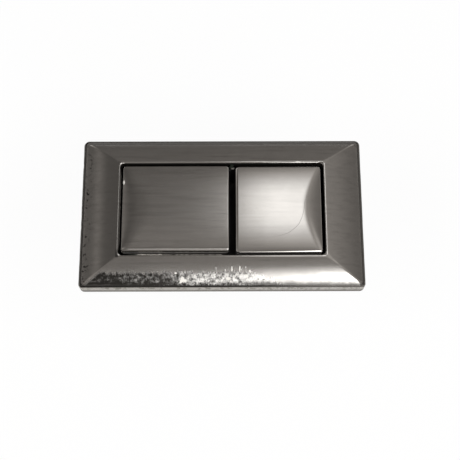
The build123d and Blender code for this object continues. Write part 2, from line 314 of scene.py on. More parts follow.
bezel = {
    "flange": 2.2, "ledge": 0.8, "riser": 0.7, "land": 0.5, "border": (11.6, 9.05),
    "wall": 1.8, "collar": 1.6, "collarFoot": 2.6, "collarStep": 2.0, "underLand": 0.1,
    "cornerRadius": 1.6, "mitreRadius": 0.40, "landRadius": 0.9, "windowRadius": 1.3, "cavityRadius": 0.6,
    "chamfer": 0.15, "side": 0.9, "groove": 0.10, "riserTop": 0.12, "footEase": 0.015, "landIn": 0.10,
    "middle": (0.40, 0.525), "cavityShare": 0.95,  # where a slope's arc passes, how much of it is hollow
    "mitreFade": 0.22, "mitreOpen": 0.8, "openFrom": 0.7,  # mitres sharpen up the slope, open to the window
    "edge": 0.3, "lip": 0.18, "dip": 0.056, "dipReach": 0.6,  # rounded flange and rim, the land's fall
    "rubbed": 0.18, "rubbedX": (12.0, 24.0),  # more rounding of the rim at the back right
    "worn": 0.16, "wornRows": (1, 9), "wornX": (30.0, 40.0), "wornEnds": 1.2,  # knocks in the flange
    "slopeSteps": 30, "edgeSteps": 5, "cornerSteps": 8, "stepsX": 110, "stepsY": 64,
}


def bezelSizes():  # half sizes, each along and across the plate, and levels
    low, high = boxMm("bezel_frame")
    outer = high[:2]
    hump = [v - bezel["ledge"] for v in outer]
    window = [v - border for v, border in zip(outer, bezel["border"])]
    flangeTop = low[2] + bezel["flange"]
    return SimpleNamespace(
        outer=outer, hump=hump, window=window, land=[v + bezel["land"] for v in window],
        collar=[v + bezel["collar"] for v in window], cavity=[v - bezel["wall"] for v in hump],
        base=low[2], flangeTop=flangeTop, foot=flangeTop + bezel["riser"], top=high[2])


def slopeArc(share):  # across and up a slope, on the circle through its foot, middle and top
    x, y = bezel["middle"]
    square, scale = x**2 + y**2, 2 * (x - y)
    midX, midY = (square - 2 * y) / scale, (2 * x - square) / scale
    first, last = atan2(-midY, -midX), atan2(1 - midY, 1 - midX)
    angle = first + (last - first) * share
    radius = hypot(midX, midY)
    return midX + radius * cos(angle), midY + radius * sin(angle)


def rim(half, grow, radius, level):  # a rounded loop of the shell, counter-clockwise from the front right
    alongX, alongY, steps = bezel["stepsX"], bezel["stepsY"], bezel["cornerSteps"]
    corners = ((1, -1, alongY), (1, 1, alongX), (-1, 1, alongY), (-1, -1, alongX))
    midX, midY = (v + grow - radius for v in half)
    arcs = []
    for place, (sideX, sideY, _) in enumerate(corners):
        turns = [radians(90 * (place - 1) + 90 * k / steps) for k in range(steps + 1)]
        arcs.append([(sideX * midX + radius * cos(turn), sideY * midY + radius * sin(turn))
                     for turn in turns])
    loop = []
    for arc, following, (_, _, count) in zip(arcs, arcs[1:] + arcs[:1], corners):
        loop += arc + [between(arc[-1], following[0], k / count) for k in range(1, count)]
    return [(x, y, level) for x, y in loop]


def slopeLoops(sizes, small):  # the four convex slopes, from the riser up to the land
    mitre, openFrom = bezel["mitreRadius"], bezel["openFrom"]
    loops = []
    for k in range(bezel["slopeSteps"] + 1):
        share = k / bezel["slopeSteps"]
        across, up = slopeArc(share)
        radius = mitre + (small - mitre) * max(0.0, 1 - share / bezel["mitreFade"]) ** 1.5
        radius += bezel["mitreOpen"] * max(0.0, (share - openFrom) / (1 - openFrom)) ** 2
        inset = 0.0 if k else bezel["footEase"]
        level = sizes.foot + (sizes.top - sizes.foot) * up
        loops.append(rim(between(sizes.hump, sizes.land, across), -inset, radius, level))
    return loops


def insideLoops(sizes):  # the collar below the window, then the hollow under the slopes
    radius, foot = bezel["windowRadius"], bezel["collarFoot"]
    collarRadius = radius + bezel["collar"]
    hollowFoot, hollowTop = sizes.foot - bezel["wall"] / 2, sizes.top - bezel["wall"]
    loops = [rim(sizes.window, 0.0, radius, foot + bezel["collarStep"]), rim(sizes.window, 0.0, radius, foot),
             rim(sizes.collar, 0.0, collarRadius, foot),
             rim(sizes.collar, 0.0, collarRadius, hollowTop - bezel["underLand"])]
    steps = bezel["edgeSteps"]
    for k in range(steps + 1):
        across, up = slopeArc(bezel["cavityShare"] * (1 - k / steps))
        level = hollowFoot + (hollowTop - hollowFoot) * up
        loops.append(rim(between(sizes.cavity, sizes.collar, across), 0.0, bezel["cavityRadius"], level))
    return loops + [rim(sizes.cavity, 0.0, bezel["cavityRadius"], sizes.base)]


def rubRim(loop, turn, windowY):  # the land falls to the window, its lip is rubbed at the back right
    first, full = bezel["rubbedX"]
    fresh = []
    for x, y, z in loop:
        near = clamp((abs(y) - windowY + bezel["dipReach"]) / bezel["dipReach"])
        more = bezel["rubbed"] * near * (y > 0) * clamp((x - first) / (full - first))
        dip = bezel["dip"] * near + more * (1 - cos(turn))
        fresh.append((x, y + more * (1 - sin(turn)), z - dip))
    return fresh


def bezelLoops():
    sizes = bezelSizes()
    outer, hump, flangeTop, top = sizes.outer, sizes.hump, sizes.flangeTop, sizes.top
    edge, lip, groove, chamfer = (bezel[key] for key in ("edge", "lip", "groove", "chamfer"))
    big = bezel["cornerRadius"]
    small = big - bezel["ledge"] / 2
    turns = quarterTurn(bezel["edgeSteps"])
    loops = [rim(outer, -chamfer, big, sizes.base), rim(outer, 0.0, big, sizes.base + chamfer),
             rim(outer, 0.0, big, sizes.base + bezel["side"])]
    for turn in turns:
        inset = edge * (1 - cos(turn))
        loops.append(rim(outer, -inset, big - inset, flangeTop - edge + edge * sin(turn)))
    loops += [rim(hump, groove, small + groove, flangeTop),
              rim(hump, groove * 0.3, small, flangeTop + groove * 0.3),
              rim(hump, 0.0, small, flangeTop + groove),
              rim(hump, 0.0, small, sizes.foot - bezel["riserTop"])]
    loops += slopeLoops(sizes, small)
    loops.append(rim(sizes.land, -bezel["landIn"], bezel["landRadius"], top))
    for turn in turns:
        inset = lip * (1 - sin(turn))
        loop = rim(sizes.window, inset, bezel["windowRadius"] + inset, top - lip * (1 - cos(turn)))
        loops.append(rubRim(loop, turn, sizes.window[1]))
    return loops + insideLoops(sizes)


def wearEdge(loops):  # the flange is knocked and uneven at its ends, most at the left one
    endX = bezelSizes().outer[0] - bezel["wornEnds"]
    first, full = bezel["wornX"]
    for row in range(*bezel["wornRows"]):
        fresh = []
        for x, y, z in loops[row]:
            knocks = max(0.0, wave(x * 0.9, y * 0.55, 3.0) - 0.12)
            waves = max(0.0, wave(x * 0.20, y * 0.22, 9.0))
            dent = knocks * clamp((-x - first) / (full - first)) + waves * 0.35
            inward = (1 if x < 0 else -1) * (abs(x) > endX)
            fresh.append((x + bezel["worn"] * dent * inward, y, z))
        loops[row] = fresh
    return loops


wear = {
    "rough": 0.19, "spread": 0.07, "relief": 0.045,
    "noise": {  # scale, detail and roughness
        "ragged": (0.55, 5.0, 0.65), "blots": (0.8, 4.0, 0.65),
        "pitting": (0.95, 3.0, 0.75), "crumbs": (0.9, 3.0, 0.55),
        "blades": ((1.7, 0.42, 0.42), 3.0, 0.6), "grain": ((2.3, 1.4, 1.4), 4.0, 0.72),
        "cloudy": ((0.75, 0.95, 0.95), 3.0, 0.6), "wash": ((0.35, 0.35, 1.2), 3.0, 0.55),
    },
    # the front and left slopes, inside their mitres, and the window
    "leftMitre": (0.05, 0.16), "rightMitre": (0.0, 0.06), "leftSlope": (0.06, -0.06),
    "aboveFlange": (0.5, 0.7), "windowEdge": 0.3, "lip": (6.98, 7.08), "gap": (7.08, 6.78),
    # the eaten part: shares down the front slope, spans along the plate, range of its tone, which is darker
    # to the left and at the foot and raised to the right as painted highlight
    "eaten": (0.50, 0.63), "footDark": (0.84, 1.0), "kept": (8.0, 24.0), "dark": (-7.0, -18.0),
    "darkest": (-24.0, -35.0), "brightest": (2.0, 14.0), "bare": (0.0, 1.05),
    # darker grey low on the front slope, a band of painted shade and pits on the left one
    "veil": (0.80, 0.97), "veilX": (-2.0, 12.0), "smudge": (0.62, 0.28), "smudgeX": (-30.0, -31.0),
    "pits": (0.57, 0.63), "pitsX": (-38.4, -40.2),
    # lime: strokes, then place, half sizes and rays of each splash
    "strokes": (0.58, 0.66), "strokesDown": (0.30, 0.42, 0.62, 0.78), "strokesX": (-5.0, 1.0, 10.0, 15.0),
    "splashes": ((-11.5, -21.5, 1.05, 0.8, 3.0), (-13.4, -19.6, 0.35, 0.3, 0), (2.9, -18.4, 0.2, 0.95, 0),
                 (5.2, -18.4, 0.2, 0.8, 0), (8.1, -19.1, 0.42, 0.4, 0), (1.8, -21.1, 0.9, 0.45, 0),
                 (7.0, -20.4, 0.8, 0.5, 0)),
    # darker along the ledge's groove, painted shade in the window's gap and on its left wall, dried water in
    # front, painted shade on the outer edges elsewhere, darker low on the flange's side
    "ledgeMid": 0.25, "ledge": (0.45, 0.30), "groove": (-0.35, -0.1, 0.21, 0.33), "grooveGaps": (0.15, 0.40),
    "grooveX": (34.0, 0.0, 0.55, 1.0), "front": (-21.6, -22.4), "back": (20.6, 21.8), "bloom": (0.34, 0.46),
    "dulled": (-0.45, -0.05), "film": (2.15, 1.85), "filmOut": (0.55, 0.7), "streaks": (0.46, 0.62),
    "leftWallX": (-30.0, -30.4), "leftWallY": (-12.0, -13.5, 0.35, 0.75),
}


def bezelFields(sheet, where):  # coordinates, shares of the slopes, and the noise of all the wear
    sizes = bezelSizes()
    (landX, landY), (humpX, humpY) = sizes.land, sizes.hump
    x, y, z = sheet.parts(where)
    at = SimpleNamespace(x=x, y=y, z=z, up=z - sizes.flangeTop)
    at.span = lambda value, key: sheet.ramp(value, *wear[key])
    at.down = (y * -1.0 - landY) / (humpY - landY)
    at.outLeft = (x * -1.0 - landX) / (humpX - landX)
    outRight = (x - landX) / (humpX - landX)
    fromLeft = at.span(at.down - at.outLeft, "leftMitre")
    fromRight = at.span(at.down - outRight, "rightMitre")
    at.onFront = fromLeft * fromRight * at.span(at.up, "aboveFlange")
    at.onLeft = at.span((abs(y) - landY) / (humpY - landY) - at.outLeft, "leftSlope")
    at.fromFoot = (abs(x) - humpX).most(abs(y) - humpY)
    edge = wear["windowEdge"]
    at.inWindow = sheet.ramp(abs(x), landX + edge, landX) * sheet.ramp(abs(y), landY + edge, landY)
    for name, recipe in wear["noise"].items():
        setattr(at, name, sheet.cloud(where, *recipe))
    return at


def eatenSlopeAndGlare(sheet, at, colour, rough):  # the foot of the front slope is eaten away, least at the right; its tone is raised to the right as painted highlight
    kept = at.span(at.x + (at.ragged - 0.5) * 10.0, "kept")
    depth = at.down + (at.ragged - 0.5) * 0.22 + (at.blades - 0.5) * 0.35 - kept * 0.75
    eaten = at.span(depth, "eaten") * at.onFront
    # darker towards the left and at the foot; raised towards the right, where the glare falls, as painted
    # highlight
    dark = at.span(at.x + (at.ragged - 0.5) * 12.0, "dark")
    bare = 0.67 - dark * 0.34 - at.span(at.x, "darkest") * 0.14
    bare = bare + at.span(at.x, "brightest") * 0.2 - at.span(at.down, "footDark") * 0.24
    bare = bare + (at.cloudy - 0.5) * (1.6 - dark * 0.5) + (at.grain - 0.5) * (1.6 - dark * 0.5)
    etched = sheet.blend(at.span(bare, "bare") ** 1.8, plating["burnt"], plating["etched"])
    colour = sheet.blend(eaten * 0.99, colour, etched)
    rough = rough + eaten * (0.16 + (at.grain - 0.5) * 0.2)
    height = eaten * (at.cloudy * 0.5 + at.grain * 0.25) * (1.0 - dark * 0.5)
    return colour, rough, height


def slopeDarkeningAndPits(sheet, at, colour):  # darker grey low on the front slope, a band of painted shade and pits on the left one
    # darker grey low on the front slope, towards the right
    veil = at.span(at.down + (at.ragged - 0.5) * 0.12, "veil") * at.span(at.x, "veilX")
    colour = sheet.blend(veil * at.onFront * 0.92, colour, plating["veil"])
    # painted shade: a darker band on the left slope along the window
    smudge = at.onLeft * at.span(at.outLeft, "smudge") * at.span(at.x, "smudgeX")
    colour = sheet.blend(smudge * 0.45, colour, scaled(plating["shade"], 0.6))
    pits = at.span(at.pitting, "pits") * at.span(at.x, "pitsX")
    return sheet.blend(pits * 0.92, colour, plating["dirtAndShade"])


def limeMarks(sheet, at):  # strokes along the upper edge of the eaten part, and splashes
    strokes = at.span(at.blades, "strokes") * sheet.band(at.down, *wear["strokesDown"])
    lime = strokes * sheet.band(at.x, *wear["strokesX"]) * 0.8
    for spotX, spotY, wide, deep, rays in wear["splashes"]:
        acrossX, acrossY = (at.x - spotX) / wide, (at.y - spotY) / deep
        reach = acrossX ** 2.0 + acrossY ** 2.0 + (at.ragged - 0.5) * 4.6 + (at.grain - 0.5) * 3.4
        if rays:
            turn = at.x.maths("ARCTAN2", acrossY, acrossX) * rays + at.blots * 14.0
            reach = reach - at.x.maths("COSINE", turn) * 0.6
        lime = lime.most(sheet.ramp(reach, 1.0, 0.4) * 0.95)
    return lime * at.onFront


def bezelCover(sheet, at, lime):  # what lies on the plating, painted shade in the gaps and on the outer edges among it: its colour and its share
    onLedge = at.span(abs(at.up - wear["ledgeMid"]), "ledge")
    # darker along the groove at the foot of the riser, broken by gaps
    groove = onLedge * sheet.band(at.fromFoot, *wear["groove"])
    groove = groove * at.span(at.crumbs, "grooveGaps") * at.span(at.x, "grooveX")
    atFront = at.span(at.y + abs(at.x) * 0.02, "front")
    atBack = at.span(at.y, "back")
    bloom = at.span(at.fromFoot, "bloom") * atFront
    outward = at.fromFoot + (at.ragged - 0.5) * 0.5 + atBack * 0.85
    # painted shade: a dark matt cover on the outer edges behind and at the ends
    dulled = at.span(outward, "dulled") * (1.0 - atFront) * 0.92
    # darker and matt low on the flange's side
    film = at.span(at.z + (at.wash - 0.5) * 0.7, "film") * at.span(at.fromFoot, "filmOut")
    # painted shade: the window's walls in the gap below the lip, and its left wall
    inGap = at.span(at.z, "gap") * at.inWindow
    leftWall = at.inWindow * at.span(at.x, "leftWallX") * at.span(at.y, "leftWallY")
    grimeAndShade = (groove * 0.95).most(inGap * 0.97).most(leftWall)
    streaky = sheet.blend(at.span(at.blots, "streaks") * 0.8, plating["bloom"], plating["film"])
    cover = sheet.blend(sheet.ramp(bloom, 0.0, 0.5), plating["dulled"], streaky)
    cover = sheet.blend(film, cover, plating["film"])
    cover = sheet.blend(sheet.ramp(grimeAndShade, 0.0, 0.6), cover, plating["dirtAndShade"])
    cover = sheet.blend(sheet.ramp(lime, 0.0, 0.4), cover, plating["scale"])
    return cover, grimeAndShade.most(lime).most(film * 0.9).most(bloom * 0.85).most(dulled)


def bezelFinish():
    sheet = newFinish("worn_plating")
    where, colour, rough, height = brushed(sheet, wear["rough"], wear["spread"])
    at = bezelFields(sheet, where)
    colour, rough, eatenHeight = eatenSlopeAndGlare(sheet, at, colour, rough)
    colour = slopeDarkeningAndPits(sheet, at, colour)
    lime = limeMarks(sheet, at)
    cover, matt = bezelCover(sheet, at, lime)
    rough = rough - at.span(at.z, "lip") * at.inWindow * 0.08
    normal = sheet.bump(height + eatenHeight + lime * 0.5, wear["relief"] * mm)
    under = sheet.skin(colour=colour, rough=rough.most(0.10).least(0.6), metal=1.0, normal=normal)
    over = sheet.skin(colour=cover, rough=(rough + 0.4).least(0.85), specular=0.2, normal=normal)
    return sheet.covered(matt, under, over)


def makeBezel():
    points, faces = loft(wearEdge(bezelLoops()), closed=True)
    piece = newPiece("bezel_shell", points, faces, bezelFinish(), "plate", ["bezel_frame"], "plated", 40.0)
    print("bezel:", len(piece.data.polygons), "faces")


# buttons

button = {
    "crown": 1.2, "corner": 1.0, "wall": 1.6, "footChamfer": (0.12, 0.15), "droopReach": 1.3,
    "grimeAndShade": (0.65, 1.25), "speckScale": 1.7, "specks": (0.70, 0.76),  # depths below the edge of the painted shade and grime down the sides, then noise
    "stepsX": 70, "stepsY": 60, "edgeSteps": 14,
    # rounding of each edge with the front one's growth to the right, fall of the front, the end facet with
    # its first slope and soft crease, how far it sits forward in its play, the finish with its lime drips
    "wide": {
        "node": "full_flush_button", "body": "full_button", "facing": -1,
        "left": 0.30, "right": 0.35, "front": 1.50, "flare": 0.0, "back": 0.40, "droop": 0.0,
        "facet": 4.8, "grade": 0.15, "crease": 0.70, "play": 0.0,
        # dim darkens the wide button's plating as painted shade; its rougher, more marked finish is wear
        "material": "dull_shaded_plating", "rough": 0.13, "spread": 0.03, "ripple": 0.008, "marks": 1.0,
        "dim": 0.92, "drips": ((-29.15, 8.2, 0.30, 0.85),),
    },
    "narrow": {
        "node": "half_flush_button", "body": "half_button", "facing": 1,
        "left": 0.80, "right": 0.30, "front": 0.40, "flare": 0.38, "back": 0.40, "droop": 0.12,
        "facet": 3.75, "grade": 0.24, "crease": 0.62, "play": 0.25,
        "material": "satin_plating", "rough": 0.122, "spread": 0.012, "ripple": 0.006, "marks": 0.35,
        "dim": 1.0, "drips": (),
    },
}


def buttonShape(kind):  # it faces, with its facet, away from the other button
    low, high = boxMm(button[kind]["node"])
    return SimpleNamespace(low=low, high=high, midX=(low[0] + high[0]) / 2, halfX=(high[0] - low[0]) / 2,
                           halfY=high[1], edge=high[2] - button["crown"], **button[kind])


def spacing(low, high, count, first, last):  # close rows over the rounded edges, even ones between
    first, last = (max(button["corner"], rounding) for rounding in (first, last))
    eases = [1 - cos(turn) for turn in quarterTurn(button["edgeSteps"])[:-1]]
    inner = [low + first + (high - low - first - last) * k / count for k in range(count + 1)]
    return [low + first * ease for ease in eases] + inner + [high - last * ease for ease in eases[::-1]]


def cornerPinch(y, shape):
    over = max(0.0, abs(y) - (shape.halfY - button["corner"]))
    return button["corner"] - sqrt(max(0.0, button["corner"] ** 2 - over**2))


def buttonLevel(x, y, shape):  # vault, end facet, then the rounded edges
    y += shape.play
    crown, soft = button["crown"], shape.crease
    top = shape.edge + crown
    radius = (shape.halfY**2 + crown**2) / (2 * crown)
    vault = top - radius + sqrt(radius**2 - y**2)
    past = shape.facing * (x - shape.midX) - shape.halfX + shape.facet
    bend = (crown - shape.grade * shape.facet) / shape.facet**2
    slope = top - shape.grade * past - bend * max(0.0, past) ** 2
    mix = max(soft - abs(vault - slope), 0.0) / soft
    level = min(vault, slope) - mix**3 * soft / 6
    side = shape.right if x > shape.midX else shape.left
    across = clamp(0.5 + (x - shape.midX) / shape.halfX / 2)
    end = shape.back if y > 0 else shape.front + shape.flare * across**2
    restX = max(0.0, 1 - max(0.0, shape.halfX - cornerPinch(y, shape) - abs(x - shape.midX)) / side)
    restY = max(0.0, 1 - max(0.0, shape.halfY - abs(y)) / end)
    rest = min(1.0, hypot(restX, restY))
    size = (side * restX**2 + end * restY**2) / max(restX**2 + restY**2, 1e-9)
    ease = max(0.0, button["droopReach"] - (y + shape.halfY))  # the front of the vault falls away sooner
    return level - size * (1 - sqrt(1 - rest**2)) - shape.droop * ease**2 / (2 * button["droopReach"])


def buttonFinish(shape):
    sheet = newFinish(shape.material)
    where, colour, rough, height = brushed(sheet, shape.rough, shape.spread, shape.marks, shape.dim)
    x, y, z = sheet.parts(where)
    specks = sheet.ramp(sheet.cloud(where, button["speckScale"], 2.0, 0.7), *button["specks"])
    colour = sheet.blend(specks * 0.3, colour, plating["dirtAndShade"])
    matt = sheet.ramp(shape.edge - z, *button["grimeAndShade"]) * 0.96  # painted shade and grime down the sides, in the gap
    colour = sheet.blend(matt, colour, plating["dirtAndShade"])
    for dripX, dripY, wide, deep in shape.drips:  # lime run down from the gap
        reach = ((x - dripX) / wide) ** 2.0 + ((y - dripY) / deep) ** 2.0
        lime = sheet.ramp(reach + (sheet.cloud(where, 1.4) - 0.5) * 1.6, 1.0, 0.4) * 0.8
        colour = sheet.blend(lime, colour, plating["scale"])
        matt = matt.most(lime)
    return sheet.surface(colour=colour, rough=(rough + matt * 0.4).least(0.8), metal=1.0 - matt, specular=0.2,
                         normal=sheet.bump(height, shape.ripple * mm))


def makeButton(kind):
    shape = buttonShape(kind)
    low, high, play = shape.low, shape.high, shape.play
    midX, halfX, halfY = shape.midX, shape.halfX, shape.halfY
    xs = spacing(low[0], high[0], button["stepsX"], shape.left, shape.right)
    ys = spacing(low[1], high[1], button["stepsY"], shape.front, shape.back)
    points = []
    for y in ys:
        inner = halfX - cornerPinch(y, shape)
        for gridX in xs:
            x = midX + (gridX - midX) * inner / halfX
            points.append((x, y - play, buttonLevel(x, y - play, shape)))
    wide, deep = len(xs), len(ys)
    faces = [(r * wide + c, r * wide + c + 1, (r + 1) * wide + c + 1, (r + 1) * wide + c)
             for r in range(deep - 1) for c in range(wide - 1)]
    last = list(range(wide)) + [r * wide + wide - 1 for r in range(1, deep)]
    last += [(deep - 1) * wide + c for c in range(wide - 2, -1, -1)]
    last += [r * wide for r in range(deep - 2, 0, -1)]
    border = [points[k] for k in last]
    wall, (chamferIn, chamferUp) = button["wall"], button["footChamfer"]
    rings = [(0.0, low[2] + chamferUp), (chamferIn, low[2]), (wall, low[2]), (wall, high[2] - 2 * wall)]
    for inset, level in rings:
        ring = range(len(points), len(points) + len(border))
        shareX, shareY = (halfX - inset) / halfX, (halfY - inset) / halfY
        points += [(midX + (x - midX) * shareX, (y + play) * shareY - play, level) for x, y, _ in border]
        for k in range(len(ring)):
            after = (k + 1) % len(ring)
            faces.append((last[k], last[after], ring[after], ring[k]))
        last = ring
    faces.append(tuple(last))
    name = kind + "_button"
    piece = newPiece(name, points, faces, buttonFinish(shape), shape.body, [shape.node], "plated", 60.0)
    print(name + ":", len(piece.data.polygons), "faces")


# a fine dark curved line across the narrow button

curvedLine = {
    "path": ((25.5, 4.4), (24.9, 2.8), (24.4, 1.2), (24.2, -0.6), (23.9, -2.1), (23.4, -3.6), (22.7, -5.1),
             (21.9, -6.1), (21.0, -6.9), (19.3, -8.1), (16.5, -8.9), (12.9, -9.6)),
    "steps": 10, "width": 0.36, "lift": 0.006, "sunk": -0.02, "tip": 0.1, "tapers": (5, 4),
}


def splinePoints(path, steps):  # a smooth line through the points
    found = []
    for k in range(len(path) - 1):
        near = [path[max(0, min(len(path) - 1, k + step))] for step in (-1, 0, 1, 2)]
        for s in range(steps):
            t = s / steps
            found.append([0.5 * (2 * b + (c - a) * t + (2 * a - 5 * b + 4 * c - d) * t**2
                                 + (3 * b - a - 3 * c + d) * t**3) for a, b, c, d in zip(*near)])
    return found + [path[-1]]


def makeCurvedLine(material):
    shape = buttonShape("narrow")
    line = splinePoints(curvedLine["path"], curvedLine["steps"])
    count, tip, (opening, closing) = len(line), curvedLine["tip"], curvedLine["tapers"]
    points, faces = [], []
    for k, (x, y) in enumerate(line):
        ahead, back = line[min(k + 1, count - 1)], line[max(k - 1, 0)]
        tangent = Vector((ahead[0] - back[0], ahead[1] - back[1])).normalized()
        taper = min(1.0, opening * k / count + tip, closing * (count - 1 - k) / count + tip)
        for side, lift in ((-1, curvedLine["sunk"]), (0, curvedLine["lift"]), (1, curvedLine["sunk"])):
            out = side * curvedLine["width"] / 2 * taper
            sideX, sideY = x - tangent.y * out, y + tangent.x * out
            points.append((sideX, sideY, buttonLevel(sideX, sideY, shape) + lift))
        if k:
            at = 3 * k
            faces += [(at - 3, at - 2, at + 1, at), (at - 2, at - 1, at + 2, at + 1)]
    newPiece("button_curved_line", points, faces, material, "half_button", [], "plated", 60.0)


# return springs

spring = {"turns": 4.5, "wire": 0.88, "closed": 0.8, "sway": 0.03, "steps": 44, "sides": 12}


def makeSpring(side, joint, material):
    node = side + "_flush_spring"
    low, high = boxMm(node)
    centreX = (low[0] + high[0]) / 2
    half, turns, closed = spring["wire"] / 2, spring["turns"], spring["closed"]
    radius = (high[1] - low[1]) / 2 - half
    bottom, top = low[2] + half, high[2] - half
    loops = []
    for k in range(int(turns * spring["steps"]) + 1):
        turn = k / spring["steps"]
        opened = min(1.0, turn / closed, (turns - turn) / closed)  # 0 at the closed ends
        share = turn / turns
        ease = share + spring["sway"] * sin(2 * pi * share) * (1 - opened)
        level = bottom + (top - bottom) * ease
        angle = 2 * pi * turn
        loop = []
        for around in circle(spring["sides"]):
            out, up = radius + half * cos(around), half * sin(around)
            loop.append((centreX + out * cos(angle), out * sin(angle), level + up))
        loops.append(loop)
    piece = newPiece(side + "_coil", *tube(loops), material, "plate", [node], "spring_steel", 50.0)
    travel = next(entry for entry in frame["joints"] if entry["name"] == joint)
    reach = max(abs(v) for v in travel["range_m"]) * 1000
    tall = high[2] - low[2]
    centreX * mm
    low[2] * mm
    (tall - reach) / tall
    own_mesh(piece)


# threaded rods and studs

rodThread = {"pitch": 1.5, "depth": 0.42, "crest": 0.18, "flank": 0.64, "lead": 1.3, "steps": 10, "sides": 40}
studThread = {**rodThread, "pitch": 0.7, "depth": 0.30, "steps": 8, "sides": 32}
stud = {"diameter": 4.0, "head": 2.8, "chamfer": 0.275, "crown": 0.96, "sides": 48}


def levelRing(x, y, level, radii):  # a loop round an upright axis, one radius a point
    return [(x + r * cos(turn), y + r * sin(turn), level) for r, turn in zip(radii, circle(len(radii)))]


def threadLoops(x, y, bottom, top, radius, values):
    count = int((top - bottom) / values["pitch"] * values["steps"])
    loops = []
    for k in range(count + 1):
        level = bottom + (top - bottom) * k / count
        bevel = max(0.0, values["depth"] * values["lead"] - min(level - bottom, top - level))
        radii = []
        for s in range(values["sides"]):
            phase = (level / values["pitch"] - s / values["sides"]) % 1.0
            cut = clamp((abs(phase - 0.5) * 2 - values["crest"]) / values["flank"])
            radii.append(min(radius - values["depth"] * cut, radius - bevel))
        loops.append(levelRing(x, y, level, radii))
    return loops


def makeRod(side, material):
    node = side + "_flush_rod"
    low, high = boxMm(node)
    x, radius = (low[0] + high[0]) / 2, (high[0] - low[0]) / 2
    mesh = tube(threadLoops(x, 0.0, low[2], high[2], radius, rodThread))
    newPiece(side + "_rod_thread", *mesh, material, side + "_button", [node], "white_moulding", 50.0)


def makeStud(side, material):
    node = "fixing_stud_" + side
    low, high = boxMm(node)
    x, y, flat = (low[0] + high[0]) / 2, (low[1] + high[1]) / 2, (high[0] - low[0]) / 2
    corner = flat * 2 / sqrt(3)
    seat, top, chamfer = high[2] - stud["head"], high[2], stud["chamfer"]
    shank = threadLoops(x, y, low[2], seat, stud["diameter"] / 2, studThread)
    sectors = [(turn + pi / 6) % (pi / 3) - pi / 6 for turn in circle(stud["sides"])]
    rows = ((seat, flat), (seat + chamfer, corner), (top - chamfer, corner), (top, flat * stud["crown"]))
    head = [levelRing(x, y, level, [min(flat / cos(sector), limit) for sector in sectors])
            for level, limit in rows]
    mesh = joined((tube(shank), tube(head)))
    newPiece("stud_" + side, *mesh, material, "plate", [node], "zinc_steel", 30.0)


# moulded, rubber and steel finishes

mouldings = {  # colour, roughness, scale of the grain, relief in mm, share and colour of stains
    "black_moulding": ((0.030, 0.030, 0.032), 0.52, 1.4, 0.02, 0.30, (0.11, 0.10, 0.085)),
    "white_moulding": ((0.72, 0.715, 0.68), 0.40, 1.1, 0.02, 0.20, (0.42, 0.36, 0.24)),
    "grey_moulding": ((0.30, 0.31, 0.32), 0.48, 1.5, 0.025, 0.22, (0.16, 0.14, 0.11)),
    "soft_foot": ((0.060, 0.060, 0.064), 0.68, 2.2, 0.03, 0.18, (0.13, 0.125, 0.115)),
    "curved_line": ((0.17, 0.163, 0.152), 0.5, 2.0, 0.01, 0.2, (0.20, 0.17, 0.12)),
    "gap_grime": ((0.062, 0.058, 0.052), 0.8, 1.6, 0.05, 0.6, (0.20, 0.19, 0.17)),
}
steels = {  # colour, roughness, share of rust
    "zinc_steel": ((0.62, 0.615, 0.59), 0.34, 0.45),
    "spring_steel": ((0.56, 0.56, 0.555), 0.26, 0.12),
}
rustColour = (0.17, 0.085, 0.04)
dustColour = (0.19, 0.175, 0.15)


def moulded(name):
    colour, rough, grainScale, relief, stain, stainColour = mouldings[name]
    sheet = newFinish(name)
    where = sheet.place()
    grain = sheet.cloud(where, grainScale, 3.0, 0.6)
    flow = sheet.cloud(where, (0.10, 0.10, 0.22), 4.0, 0.6)
    tone = sheet.blend(sheet.ramp(flow, 0.35, 0.68), colour, scaled(colour, 0.80))
    marks = sheet.ramp(flow * 0.6 + grain * 0.4, 0.54, 0.66) * stain
    tone = sheet.blend(marks, tone, stainColour)
    return sheet.surface(colour=tone, rough=rough + (grain - 0.5) * 0.25 + (flow - 0.5) * 0.2,
                         normal=sheet.bump(grain * 0.4 + flow, relief * mm))


def steel(name):
    colour, rough, rust = steels[name]
    sheet = newFinish(name)
    where = sheet.place()
    bloom = sheet.cloud(where, 0.55, 5.0, 0.65)
    fine = sheet.cloud(where, (3.0, 3.0, 1.0), 3.0, 0.6)
    tone = sheet.blend(sheet.ramp(bloom, 0.38, 0.64), colour, scaled(colour, 0.62))
    spots = sheet.ramp(bloom * 0.5 + fine * 0.5, 0.58, 0.66) * rust
    tone = sheet.blend(spots, tone, rustColour)
    return sheet.surface(colour=tone, rough=rough + (bloom - 0.5) * 0.3 + spots * 0.3,
                         metal=1.0 - spots * 0.8, normal=sheet.bump(fine, 0.012 * mm))


def foam():
    sheet = newFinish("foam_seal")
    where = sheet.place()
    cells = sheet.add("TexVoronoi", {"Vector": where, "Scale": 3.2})
    patch = sheet.cloud(where, 0.3)
    tone = sheet.blend(sheet.ramp(cells, 0.1, 0.6), grey(0.075, 0.04), grey(0.13, 0.06))
    tone = sheet.blend(sheet.ramp(patch, 0.42, 0.7) * 0.35, tone, dustColour)
    return sheet.surface(colour=tone, rough=0.82 + (patch - 0.5) * 0.2, normal=sheet.bump(cells, 0.06 * mm))


